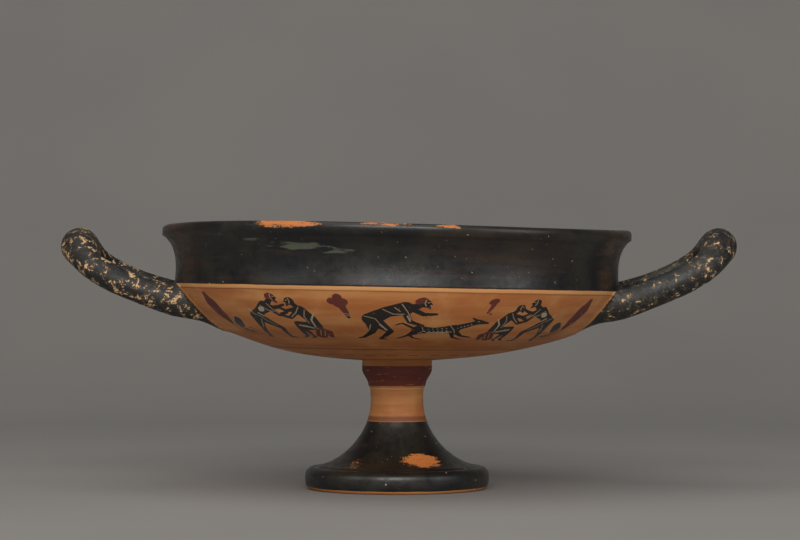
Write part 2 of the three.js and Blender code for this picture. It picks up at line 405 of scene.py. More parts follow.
def rolling_tree(material):
    """Gives a bent line its rolled, slightly uneven rod, as thick as the line's own attribute says."""
    tree = Tree("roll_a_rod", {
        "Sides": ("Int", HANDLE_SIDES),
        "Unevenness": ("Float", HANDLE_UNEVENNESS * MM),
        "Lump size": ("Float", 62.0),
        "Material": ("Material", material),
    })
    curve = tree.node("GeometryNodeMeshToCurve", {"Mesh": tree.entry.outputs["Geometry"]})
    ring = tree.node("GeometryNodeCurvePrimitiveCircle", {
        "Resolution": tree.size("Sides"), "Radius": 1.0,
    })
    thickness = tree.node("GeometryNodeInputNamedAttribute", {"Name": "thickness"}, data_type="FLOAT")
    rod = tree.node("GeometryNodeCurveToMesh", {
        "Curve": curve.outputs[0], "Profile Curve": ring.outputs[0],
        "Scale": thickness.outputs[0], "Fill Caps": True,
    })
    lumps = tree.node("ShaderNodeTexNoise", {"Scale": tree.size("Lump size"), "Detail": 1.0, "W": 3.0},
                      noise_dimensions="4D")
    centred = tree.math("SUBTRACT", lumps.outputs[0], 0.5)
    height = tree.math("MULTIPLY", tree.math("MULTIPLY", centred, 2.0), tree.size("Unevenness"))
    normal = tree.node("GeometryNodeInputNormal").outputs[0]
    push = tree.node("ShaderNodeVectorMath", operation="SCALE")
    tree.feed(push.inputs[0], normal)
    tree.feed(push.inputs["Scale"], height)
    uneven = tree.node("GeometryNodeSetPosition", {"Geometry": rod.outputs[0], "Offset": push.outputs[0]})
    tree.finish(uneven.outputs[0])
    return tree


# ---- Handles ----------------------------------------------------------------------------------

def smooth_line(points, samples):
    """Points on a Catmull-Rom curve through the given ones, evenly spaced."""
    points = np.array(points, float)
    padded = np.concatenate([points[:1], points, points[-1:]])
    run = []
    for i in range(1, len(padded) - 2):
        a, b, c, d = padded[i - 1:i + 3]
        t = np.linspace(0, 1, 60, endpoint=False)[:, None]
        run.append(0.5 * (2 * b + (c - a) * t + (2 * a - 5 * b + 4 * c - d) * t ** 2
                          + (3 * b - a - 3 * c + d) * t ** 3))
    run = np.concatenate(run + [points[-1:]])
    step = np.concatenate([[0], np.cumsum(np.linalg.norm(np.diff(run, axis=0), axis=1))])
    even = np.linspace(0, step[-1], samples)
    return np.stack([np.interp(even, step, run[:, k]) for k in range(run.shape[1])], 1), step[-1]


def handle_line(measures):
    """Middle line of a handle and half its thickness, root to root."""
    side = measures["side"]
    root, tip = ARM_LINE[0], ARM_LINE[-1]
    stretch = (measures["reach"] - measures["tip_rod"] / 2 - root[0]) / (tip[0] - root[0])
    rise = []
    for radius, height in ARM_LINE:
        share = (tip[0] - radius) / (tip[0] - root[0])
        drop = side * radius * math.tan(LEAN) * ROOT_LEAN * share
        rise.append((root[0] + (radius - root[0]) * stretch, height - drop))
    line, rise_length = smooth_line(rise, 400)
    arm = rise_length - ARCH_RADIUS
    total = 2 * arm + math.pi * ARCH_RADIUS
    distance = np.linspace(0, total, HANDLE_STEPS + 1)
    angle = np.clip((distance - arm) / ARCH_RADIUS, 0, math.pi)
    straight = np.minimum(distance, total - distance)
    in_arch = (distance > arm) & (distance < total - arm)
    out = np.where(in_arch, arm + ARCH_RADIUS * np.sin(angle), straight)
    sideways = -ARCH_RADIUS * np.cos(angle)
    share = np.linspace(0, rise_length, len(line))
    x = side * np.interp(out, share, line[:, 0])
    z = np.interp(out, share, line[:, 1]) + TWIST / 2 * sideways / ARCH_RADIUS
    from_root = np.minimum(distance, total - distance)
    flare = 1 + ROOT_FLARE * (1 - smoothstep(from_root, 0, FLARE_LENGTH))
    taper = 1 - ROOT_TAPER * (1 - smoothstep(from_root, 0, TAPER_LENGTH))
    tip_share = smoothstep(from_root, total / 2 - TIP_SPREAD, total / 2)
    rod = measures["rod"] + (measures["tip_rod"] - measures["rod"]) * tip_share
    return np.stack([x, sideways, z], 1), rod * flare * taper / 2


handle_lines = [handle_line(measures) for measures in HANDLES]


def above_handles(place):
    """Distance from a point to the nearer handle's surface, negative inside the rod."""
    best = np.full(len(place), 1e9)
    for line, radius in handle_lines:
        for i in range(len(line) - 1):
            edge = line[i + 1] - line[i]
            along = np.clip((place - line[i]) @ edge / (edge @ edge), 0, 1)
            near = line[i] + along[:, None] * edge
            thick = radius[i] + along * (radius[i + 1] - radius[i])
            best = np.minimum(best, np.linalg.norm(place - near, axis=1) - thick)
    return best


def points_of(mesh):
    place = np.empty(len(mesh.vertices) * 3)
    mesh.vertices.foreach_get("co", place)
    return place.reshape(-1, 3) / MM


def move_points(mesh, place):
    mesh.vertices.foreach_set("co", (place * MM).ravel())
    mesh.update()


def normals_of(mesh):
    normal = np.empty(len(mesh.vertices) * 3)
    mesh.vertices.foreach_get("normal", normal)
    return normal.reshape(-1, 3)


def cleaned(mesh):
    """Doubles merged, faces outward, and nothing with more than four corners."""
    work = bmesh.new()
    work.from_mesh(mesh)
    bmesh.ops.remove_doubles(work, verts=work.verts, dist=1e-6)
    bmesh.ops.dissolve_degenerate(work, edges=work.edges, dist=1e-7)
    bmesh.ops.triangulate(work, faces=[f for f in work.faces if len(f.verts) > 4])
    bmesh.ops.recalc_face_normals(work, faces=work.faces)
    work.to_mesh(mesh)
    work.free()
    return mesh


def rounded_push(distance):
    """How far a surface swells towards a neighbour that is this far away."""
    near = np.clip(distance, 0, ROOT_BLEND)
    return (ROOT_BLEND - near) ** 2 / (4 * ROOT_BLEND)


# ---- The painted band -------------------------------------------------------------------------

LAYERS = ("figure_black", "figure_red", "figure_white", "incised", "dilute")
FRONT = -90.0  # the painted front faces -Y; the angles below are counted from it to the right


class Picture:
    """Distances to the edge of each paint, positive inside it, at points of the bowl's outside.

    Shapes are drawn on a flat strip: across to the right and up from the figures' ground line.
    """

    def __init__(self, angle, down):
        self.angle = angle
        self.down = down
        self.layers = {name: np.full(len(angle), -FARTHEST) for name in LAYERS}

    def stand(self, degrees, across=0.0, up=0.0, mirrored=False, size=1.0):
        """Moves the drawing place round the bowl, and turns or scales what is drawn there."""
        turn = self.angle - math.radians(FRONT + degrees)
        turn = (turn + math.pi) % (2 * math.pi) - math.pi
        sideways = turn * BAND_RADIUS - across
        if mirrored:
            sideways = -sideways
        spot = np.stack([sideways, GROUND_LINE - self.down - up], 1) / size
        self.chosen = np.flatnonzero((np.abs(sideways) < 45) & (self.down > -FARTHEST))
        self.spot = spot[self.chosen]
        self.size = size

    def lay(self, layer, distance):
        paint = self.layers[layer]
        paint[self.chosen] = np.maximum(paint[self.chosen], distance * self.size)

    def stroke(self, layer, *knots):
        """A limb-like stroke through knots of across, up and half width."""
        for (x0, y0, w0), (x1, y1, w1) in zip(knots[:-1], knots[1:]):
            edge = np.array([x1 - x0, y1 - y0])
            away = self.spot - (x0, y0)
            along = np.clip(away @ edge / max(edge @ edge, 1e-9), 0, 1)
            width = w0 + (w1 - w0) * along
            self.lay(layer, width - np.linalg.norm(away - along[:, None] * edge, axis=1))

    def black(self, *knots):
        self.stroke("figure_black", *knots)

    def red(self, *knots):
        self.stroke("figure_red", *knots)

    def white(self, *knots):
        self.stroke("figure_white", *knots)

    def disc(self, layer, x, y, radius):
        self.lay(layer, radius - np.linalg.norm(self.spot - (x, y), axis=1))

    def oval(self, layer, x, y, length, width, tilt=0.0):
        turn = math.radians(tilt)
        away = self.spot - (x, y)
        long_way = away @ np.array([math.cos(turn), math.sin(turn)])
        short_way = away @ np.array([-math.sin(turn), math.cos(turn)])
        reach = np.hypot(long_way / length, short_way / width)
        self.lay(layer, (1 - reach) * width)

    def cut(self, *points, width=0.17):
        self.stroke("incised", *[(x, y, width) for x, y in points])

    def dots(self, layer, start, end, count, radius):
        for share in np.linspace(0, 1, count):
            x = start[0] + (end[0] - start[0]) * share
            y = start[1] + (end[1] - start[1]) * share
            self.disc(layer, x, y, radius)


def head(picture, x, y, red_hair=False):
    """A head in profile looking right: a rounded skull, a short nose and a pointed beard."""
    picture.oval("figure_black", x, y, 2.1, 2.0, 30)
    picture.black((x + 1.3, y + 0.3, 0.7), (x + 2.3, y - 0.3, 0.35))
    picture.black((x + 0.9, y - 1.0, 0.9), (x + 1.9, y - 2.4, 0.35))
    picture.cut((x + 0.9, y + 0.5), (x + 1.5, y + 0.4))
    picture.cut((x + 0.2, y + 1.6), (x - 0.1, y), (x + 0.4, y - 1.2))
    if red_hair:
        picture.oval("figure_red", x - 0.8, y + 0.6, 1.9, 1.5, 40)
        picture.dots("figure_red", (x + 0.6, y - 1.5), (x + 1.6, y - 2.4), 3, 0.5)


def stooping_man(picture, red_hair=True, sash=True):
    """A man walking right, bent forward, with both hands held out."""
    picture.black((-13.2, 1.0, 0.6), (-10.8, 1.3, 0.8), (-7.4, 9.2, 1.3),
                   (-4.6, 16.6, 2.9))
    picture.black((5.4, 0.9, 0.6), (2.6, 1.2, 0.8), (4.2, 9.8, 1.3), (-3.2, 16.8, 2.7))
    picture.black((-4.6, 17.2, 3.2), (-0.6, 20.6, 2.2), (3.4, 23.2, 3.0))
    picture.black((4.6, 24.4, 1.5), (6.6, 26.4, 1.2))
    picture.black((4.0, 23.6, 1.5), (8.0, 18.6, 1.0), (12.2, 20.2, 0.7))
    picture.black((3.2, 24.2, 1.3), (8.2, 22.6, 0.9), (12.4, 24.4, 0.6))
    head(picture, 8.0, 28.0, red_hair)
    picture.cut((-5.8, 19.4), (-2.6, 17.4), (-0.8, 14.8), (2.6, 11.6))
    picture.cut((-3.4, 15.6), (-6.6, 10.0))
    picture.cut((1.2, 23.8), (3.4, 21.4), (6.0, 20.4))
    picture.cut((4.8, 24.8), (6.2, 21.6), (8.4, 19.2))
    if sash:
        picture.oval("figure_white", 0.6, 21.6, 1.7, 1.3, 35)
        picture.white((-2.4, 19.4, 0.35), (-0.4, 17.6, 0.3))
        picture.white((-5.4, 20.2, 0.3), (-6.4, 21.8, 0.25))


def seated_man(picture, red_hair=False):
    """A man looking right on a low block with a folded cloth, leaning forward, arms out."""
    picture.red((-5.6, 8.2, 3.0), (-3.2, 3.6, 2.6))
    picture.red((-8.6, 7.4, 1.8), (-8.2, 3.0, 1.2))
    picture.black((-4.2, 12.0, 3.1), (-3.6, 17.0, 2.7), (-0.6, 21.8, 2.7))
    picture.black((-3.8, 12.0, 2.5), (4.0, 13.6, 1.6), (4.6, 3.2, 0.9), (7.6, 1.2, 0.5))
    picture.black((-2.6, 11.0, 2.0), (2.0, 9.8, 1.3), (1.0, 2.0, 0.8), (3.4, 0.9, 0.5))
    picture.black((0.4, 21.6, 1.4), (5.4, 17.4, 1.0), (10.0, 19.0, 0.6))
    picture.black((0.2, 22.6, 1.2), (5.6, 21.4, 0.9), (9.4, 24.0, 0.6))
    picture.black((0.2, 23.6, 1.3), (1.4, 25.4, 1.1))
    head(picture, 2.4, 26.8, red_hair)
    picture.white((-5.8, 19.8, 0.3), (-3.6, 16.0, 0.45), (-3.8, 11.6, 0.35))
    picture.white((-2.4, 10.6, 0.4), (1.4, 12.0, 0.5), (3.6, 12.6, 0.3))
    picture.cut((-2.6, 22.0), (-1.2, 18.4), (-1.8, 13.8))
    picture.cut((-0.4, 23.6), (1.6, 20.6), (4.8, 17.8))
    picture.cut((-4.8, 10.4), (0.4, 11.2), (3.8, 12.2))
    picture.cut((-7.2, 8.8), (-4.6, 3.0))
    picture.cut((-5.2, 9.0), (-2.8, 3.6))


def hunter(picture):
    """A long-striding man bent almost level, with a red cap, reaching after his hound."""
    picture.black((-17.6, 2.0, 0.5), (-15.0, 3.0, 0.8), (-10.4, 8.4, 1.4),
                   (-9.6, 15.4, 3.6))
    picture.black((-5.0, 0.9, 0.5), (-7.8, 1.4, 0.9), (-3.2, 8.6, 1.4), (-8.8, 15.0, 3.0))
    picture.black((-10.2, 16.2, 3.6), (-4.2, 20.4, 2.7), (2.4, 22.4, 3.2))
    picture.black((3.8, 22.8, 1.7), (7.0, 23.6, 1.3))
    picture.black((2.0, 21.4, 1.6), (4.2, 15.2, 1.1), (9.4, 12.8, 0.7))
    picture.black((3.2, 23.4, 1.4), (9.0, 19.4, 1.0), (13.8, 19.6, 0.6))
    head(picture, 9.2, 25.0)
    picture.oval("figure_red", 7.9, 26.2, 2.4, 1.5, 20)
    picture.cut((-12.6, 18.0), (-8.6, 16.6), (-6.6, 12.4), (-4.4, 9.6))
    picture.cut((-10.8, 13.0), (-11.6, 9.6))
    picture.cut((-5.6, 21.8), (-2.0, 19.4), (2.0, 19.4))
    picture.cut((1.2, 24.6), (3.4, 20.4), (4.6, 16.6))
    picture.cut((-1.4, 22.8), (0.6, 20.8))
    picture.white((-7.0, 13.0, 0.45), (-4.8, 9.6, 0.35))
    picture.white((3.2, 18.4, 0.3), (4.4, 15.4, 0.3))


def hound(picture, speckled=True):
    """A hound at full stretch, running right with its neck low."""
    picture.black((-8.6, 9.4, 2.6), (-1.6, 8.8, 2.1), (6.2, 10.2, 2.9))
    picture.black((7.4, 11.2, 2.0), (12.8, 13.8, 1.3), (15.2, 15.0, 1.5), (19.4, 14.4, 0.5))
    picture.black((14.4, 15.8, 0.7), (12.2, 17.2, 0.35))
    picture.black((6.8, 8.6, 1.4), (10.8, 5.0, 0.8), (15.6, 3.8, 0.45))
    picture.black((5.6, 8.2, 1.3), (7.4, 3.6, 0.7), (12.0, 1.2, 0.4))
    picture.black((-9.0, 8.6, 1.9), (-12.2, 5.2, 0.9), (-9.8, 2.2, 0.6), (-6.8, 1.0, 0.4))
    picture.black((-8.2, 8.0, 1.7), (-13.0, 4.4, 0.8), (-16.8, 1.4, 0.45))
    picture.black((-10.6, 10.6, 0.7), (-15.0, 13.6, 0.5), (-17.6, 12.4, 0.3))
    picture.cut((4.2, 12.4), (6.4, 9.6), (7.2, 7.4))
    picture.cut((-7.0, 11.2), (-6.2, 8.4), (-8.4, 6.6))
    picture.cut((14.8, 15.3), (15.4, 15.2))
    if speckled:
        picture.dots("figure_white", (-5.6, 8.2), (3.4, 8.8), 6, 0.38)
        picture.dots("figure_white", (-4.4, 9.8), (3.0, 10.6), 5, 0.3)
        picture.dots("figure_white", (7.6, 11.0), (12.6, 13.4), 5, 0.32)
        picture.white((-4.6, 7.2, 0.4), (2.2, 7.5, 0.5), (5.6, 8.2, 0.3))


def hanging_leaf(picture):
    """A red leaf hung in the field, with three lobes and a stalk."""
    picture.disc("figure_red", 0.0, 30.4, 1.9)
    picture.disc("figure_red", -2.6, 28.4, 1.8)
    picture.disc("figure_red", 2.0, 28.0, 2.0)
    picture.oval("figure_red", 0.0, 27.4, 2.6, 2.2, 90)
    picture.red((1.0, 26.0, 1.7), (2.4, 21.8, 1.2))
    picture.black((2.6, 20.8, 1.2), (3.0, 19.2, 0.8))
    picture.cut((1.5, 21.4), (4.2, 21.0))
    picture.cut((1.7, 20.2), (4.2, 19.8))


def small_leaf(picture):
    picture.oval("figure_red", 0.2, 29.6, 2.3, 1.5, 20)
    picture.red((0.6, 28.4, 1.0), (-0.8, 23.4, 0.6))
    picture.disc("figure_red", 0.6, 22.6, 0.6)


def bud_by_handle(picture):
    """A closed bud on curling tendrils, drawn beside a handle's root and turned towards the figures."""
    picture.red((0.2, 14.0, 1.6), (-0.4, 19.0, 3.8), (-1.2, 25.0, 4.2), (-1.8, 30.4, 1.6))
    picture.black((2.0, 14.4, 0.3), (2.4, 18.6, 0.4), (1.8, 23.0, 0.25))
    picture.black((-1.8, 14.8, 0.3), (-3.0, 19.0, 0.3), (-3.6, 23.0, 0.2))
    picture.black((6.4, 13.0, 3.0), (8.8, 15.6, 2.2))
    picture.cut((2.6, 13.0), (4.2, 15.0), (6.2, 16.4))
    picture.stroke("dilute", (0.0, 15.0, 0.45), (3.0, 10.4, 0.4), (8.0, 8.0, 0.5), (13.0, 6.4, 0.3))
    picture.stroke("dilute", (1.0, 13.0, 0.4), (4.4, 7.4, 0.5), (9.6, 4.6, 0.4), (14.6, 3.4, 0.3))
    picture.black((5.0, 8.2, 0.5), (7.6, 6.2, 0.9), (10.0, 6.4, 0.4))
    picture.stroke("dilute", (-1.0, 13.6, 0.4), (-0.6, 8.6, 0.5), (3.4, 4.4, 0.5), (7.0, 2.6, 0.3))
    picture.oval("dilute", 11.6, 9.6, 2.2, 0.5, -20)


def paint_front(picture):
    picture.stand(-34, across=-8.0, size=1.06)
    stooping_man(picture)
    picture.stand(-34, across=11.0, mirrored=True, size=1.04)
    seated_man(picture)
    picture.stand(-15)
    hanging_leaf(picture)
    picture.stand(4, across=-5.5, size=1.12)
    hunter(picture)
    picture.stand(4, across=12.6, up=1.0, size=1.1)
    hound(picture)
    picture.stand(25)
    small_leaf(picture)
    picture.stand(38, across=-8.8, size=0.98)
    seated_man(picture)
    picture.stand(38, across=8.6, mirrored=True, size=1.04)
    stooping_man(picture, red_hair=False)
    picture.stand(-58)
    bud_by_handle(picture)
    picture.stand(58.5, mirrored=True)
    bud_by_handle(picture)


def paint_back(picture):
    """The back has fewer and plainer figures."""
    picture.stand(180, across=-24.0, size=0.92)
    stooping_man(picture, sash=False)
    picture.stand(180, across=1.0, up=1.0, size=0.94)
    hound(picture, speckled=False)
    picture.stand(180, across=30.0, mirrored=True, size=0.92)
    stooping_man(picture, red_hair=False, sash=False)
    picture.stand(152)
    small_leaf(picture)
    picture.stand(200, across=2.0)
    small_leaf(picture)
    picture.stand(122)
    bud_by_handle(picture)
    picture.stand(-122, mirrored=True)
    bud_by_handle(picture)


def painted(place):
    """Paint distances at points given in millimetres."""
    height = unsettled(place)
    radius = np.hypot(place[:, 0], place[:, 1])
    length, _, _ = wall_line.project(radius, height)
    start, end = wall_line.span["bowl"]
    down = np.where((length > start) & (length <= end), end - length, -2 * FARTHEST)
    picture = Picture(np.arctan2(place[:, 1], place[:, 0]), down)
    paint_front(picture)
    paint_back(picture)
    return picture.layers


# ---- Making the cup ---------------------------------------------------------------------------

def on_the_wall(place):
    """Moves points straight onto the smooth turned surface, before the bowl settled."""
    radius = np.hypot(place[:, 0], place[:, 1])
    angle = np.arctan2(place[:, 1], place[:, 0])
    _, spot, _ = wall_line.project(radius, place[:, 2])
    return np.stack([spot[:, 0] * np.cos(angle), spot[:, 0] * np.sin(angle), spot[:, 1]], 1)


def finer_where_painted(mesh):
    """Splits the faces near painted edges, closest of all at the thin ones."""
    for reach in SPLIT_REACHES:
        place = points_of(mesh)
        radius = np.hypot(place[:, 0], place[:, 1])
        length, _, _ = wall_line.project(radius, place[:, 2])
        start, end = wall_line.span["bowl"]
        in_band = (length > start + 24) & (length < end - 0.5)
        seen = np.flatnonzero(in_band)
        shown = place[seen].copy()
        shown[:, 2] += settling(shown[:, 0], shown[:, 1], shown[:, 2])
        layers = painted(shown)
        closest = np.full(len(place), 1e9)
        closest[seen] = np.min([np.abs(layer) for layer in layers.values()], axis=0)
        work = bmesh.new()
        work.from_mesh(mesh)
        work.faces.ensure_lookup_table()
        wanted = set()
        for face in work.faces:
            near = [closest[v.index] for v in face.verts]
            if max(near) < 1e8 and min(near) < reach:
                wanted.update(face.edges)
        bmesh.ops.subdivide_edges(work, edges=list(wanted), cuts=1, use_grid_fill=True)
        bmesh.ops.triangulate(work, faces=[f for f in work.faces if len(f.verts) > 4])
        work.to_mesh(mesh)
        work.free()
        place = points_of(mesh)
        band = np.flatnonzero((np.hypot(place[:, 0], place[:, 1]) > 40) & (place[:, 2] < CARINATION[1] + 2)
                              & (place[:, 2] > 57))
        moved = on_the_wall(place[band])
        close = np.linalg.norm(moved - place[band], axis=1) < 0.2
        place[band[close]] = moved[close]
        move_points(mesh, place)
    return mesh


def turned_wall(material):
    profile = Profile(fine=1).points
    line = line_object("wall_profile", [(r * MM, 0, z * MM) for r, z in profile])
    mesh = turning_tree(material).apply(line)
    bpy.data.objects.remove(line)
    mesh = cleaned(mesh)
    mesh = finer_where_painted(mesh)
    place = points_of(mesh)
    place[:, 2] += settling(place[:, 0], place[:, 1], place[:, 2])
    beside = np.flatnonzero((np.abs(place[:, 0]) > 55) & (place[:, 2] > 66))
    height = unsettled(place[beside])
    radius = np.hypot(place[beside, 0], place[beside, 1])
    length, _, _ = wall_line.project(radius, height)
    outside = (length > wall_line.span["bowl"][0]) & (length < wall_line.span["lip"][1])
    beside = beside[outside]
    push = rounded_push(above_handles(place[beside]))
    place[beside] += normals_of(mesh)[beside] * push[:, None]
    move_points(mesh, place)
    return mesh


def rolled_handle(name, measures, shape, material):
    line, radius = shape
    wire = line_object(name, line * MM)
    wire.data.attributes.new("thickness", "FLOAT", "POINT").data.foreach_set("value", radius * MM)
    mesh = rolling_tree(material).apply(wire)
    bpy.data.objects.remove(wire)
    mesh = cleaned(mesh)
    place = points_of(mesh)
    height = unsettled(place)
    _, _, outward = wall_line.project(np.hypot(place[:, 0], place[:, 1]), height)
    push = rounded_push(outward)
    place += normals_of(mesh) * push[:, None]
    if measures["side"] > 0:
        away = place - CHIP_CENTRE
        reach = np.linalg.norm(away, axis=1)
        bitten = reach < CHIP_RADIUS
        place[bitten] -= normals_of(mesh)[bitten] * (CHIP_RADIUS - reach[bitten])[:, None] * 0.8
    move_points(mesh, place)
    return mesh


def object_of(name, mesh):
    piece = bpy.data.objects.new(name, mesh)
    bpy.context.scene.collection.objects.link(piece)
    return piece


def trimmed_handle(handle, wall_core):
    """The part of a handle that isn't inside the bowl's hollow."""
    return cut_or_join(handle, wall_core, "DIFFERENCE")


def cut_or_join(piece, other, operation):
    modifier = piece.modifiers.new(operation, "BOOLEAN")
    modifier.operation = operation
    modifier.solver = "MANIFOLD"
    modifier.object = other
    mesh = bpy.data.meshes.new_from_object(
        piece.evaluated_get(bpy.context.evaluated_depsgraph_get()))
    piece.modifiers.remove(modifier)
    piece.data = mesh
    bpy.data.objects.remove(other)
    return piece


def hollow_core(material):
    """The bowl's hollow, grown a little into the wall, as a solid."""
    into_wall = 1.6
    inside = Profile(fine=1)
    keep = inside.length >= inside.span["inside"][0]
    points = inside.points[keep] + (into_wall, -into_wall)
    points[-1, 0] = 0.0
    outline = [(0.0, RIM_TOP + into_wall + 4)] + [(r, z) for r, z in points]
    line = line_object("hollow", [(r * MM, 0, z * MM) for r, z in outline])
    mesh = cleaned(turning_tree(material).apply(line))
    bpy.data.objects.remove(line)
    place = points_of(mesh)
    place[:, 2] += settling(place[:, 0], place[:, 1], place[:, 2])
    move_points(mesh, place)
    return object_of("hollow", mesh)


def thrown_cup(material):
    wall = object_of("kylix", turned_wall(material))
    for measures, shape in zip(HANDLES, handle_lines):
        name = "handle_right" if measures["side"] > 0 else "handle_left"
        handle = object_of(name, rolled_handle(name, measures, shape, material))
        handle = trimmed_handle(handle, hollow_core(material))
        wall = cut_or_join(wall, handle, "UNION")
    wall.data = cleaned(wall.data)
    place = points_of(wall.data)
    low, high = (np.array(corner) / MM for corner in cad_box)
    move_points(wall.data, np.clip(place, low, high))
    wall.data.shade_smooth()
    return wall


# ---- Places of wear and paint on the whole cup ------------------------------------------------

# Degrees from the front, height, half width in degrees, half height, strength
RIM_RUBBING = (
    (-26.0, 115.6, 12.5, 3.0, 1.0), (-3.0, 116.4, 10.0, 1.8, 0.85), (12.0, 116.0, 5.0, 1.6, 0.85),
    (22.0, 114.6, 9.0, 3.0, 0.45), (-44.0, 116.8, 16.0, 1.6, 0.5), (150.0, 115.6, 22.0, 2.6, 0.7),
    (-140.0, 116.2, 14.0, 2.0, 0.6), (-100.0, 116.4, 9.0, 1.8, 0.6), (100.0, 116.6, 12.0, 1.6, 0.5),
)
FOOT_RUBBING = (
    (24.0, 14.0, 30.0, 4.2, 1.0), (-38.0, 12.6, 13.0, 3.4, 0.75), (-72.0, 11.0, 18.0, 3.0, 0.35),
    (150.0, 13.0, 24.0, 3.6, 0.8), (-150.0, 11.6, 16.0, 2.4, 0.5), (70.0, 11.4, 14.0, 2.4, 0.4),
)
LIP_SCUFFS = (
    (-24.0, 106.8, 10.0, 2.2, 1.0), (-37.0, 109.0, 5.0, 1.4, 0.8), (-14.0, 104.6, 7.0, 1.6, 0.9),
    (165.0, 104.0, 12.0, 2.6, 0.6),
)
BROWNED_LIP = (
    (66.0, 102.0, 5.5, 30.0, 1.0), (-67.0, 104.0, 6.0, 30.0, 0.8), (28.0, 106.0, 26.0, 14.0, 0.35),
    (118.0, 102.0, 10.0, 30.0, 0.8),
)


def patches(angle, height, spots):
    """Soft-edged patches round the axis, 1 at the middle of a strong one."""
    total = np.zeros(len(angle))
    for degrees, middle, half_width, half_height, strength in spots:
        turn = np.degrees(angle) - FRONT - degrees
        turn = (turn + 180) % 360 - 180
        reach = np.hypot(turn / half_width, (height - middle) / half_height)
        total = np.maximum(total, strength * (1 - smoothstep(reach, 0.35, 1.25)))
    return total


def write_fields(piece):
    """Stores on each point of the cup what the clay and paint need to know about its place."""
    place = points_of(piece.data)
    height = unsettled(place)
    radius = np.hypot(place[:, 0], place[:, 1])
    angle = np.arctan2(place[:, 1], place[:, 0])
    length, _, _ = wall_line.project(radius, height)
    handle_cover = np.full(len(place), -FARTHEST)
    near = np.flatnonzero((np.abs(place[:, 0]) > 55) & (place[:, 2] > 60))
    handle_cover[near] = np.maximum(-FARTHEST, 1.2 - above_handles(place[near]))
    start, end = wall_line.span["lip"]
    inside = length > end
    handle_cover[inside & (height < 112)] = -FARTHEST
    on_lip = (length >= start) & (length <= end + 4)
    on_foot = length < wall_line.span["fillet"][0]
    side_flaking = np.where(place[:, 0] < 0, LEFT_FLAKING, RIGHT_FLAKING)
    fields = {
        "outline_share": length / wall_line.total,
        "handle_cover": handle_cover,
        "rubbing": patches(angle, height, RIM_RUBBING) * on_lip
        + patches(angle, height, FOOT_RUBBING) * on_foot,
        "scuffing": patches(angle, height, LIP_SCUFFS) * on_lip,
        "browning": patches(angle, height, BROWNED_LIP) * on_lip,
        "flaking": smoothstep(handle_cover, -0.5, 1.5) * side_flaking,
    }
    fields.update(painted(place))
    for name, values in fields.items():
        attribute = piece.data.attributes.new(name, "FLOAT", "POINT")
        attribute.data.foreach_set("value", np.asarray(values, np.float32))


# ---- Materials --------------------------------------------------------------------------------

def linear(red, green, blue):
    """A colour given in 0-255 screen values, as the shader wants it."""
    parts = [channel / 255 for channel in (red, green, blue)]
    return tuple(c / 12.92 if c <= 0.04045 else ((c + 0.055) / 1.055) ** 2.4 for c in parts) + (1.0,)


CLAY = linear(206, 140, 82)
CLAY_PALE = linear(222, 164, 102)
CLAY_DEEP = linear(184, 110, 56)
CLAY_WORN = linear(196, 116, 54)
CLAY_FLAKED = linear(214, 176, 128)
GLOSS_BLUE_BLACK = linear(20, 21, 23)
GLOSS_OLIVE = linear(40, 38, 31)
GLOSS_BROWN = linear(66, 46, 34)
GLOSS_DUSTY = linear(96, 88, 72)
SCUFFED = linear(92, 96, 80)
FIGURE_BLACK = linear(34, 31, 29)
ADDED_RED = linear(104, 46, 36)
ADDED_WHITE = linear(196, 180, 150)
INCISED_CLAY = linear(186, 160, 122)
DILUTE_BROWN = linear(96, 54, 36)


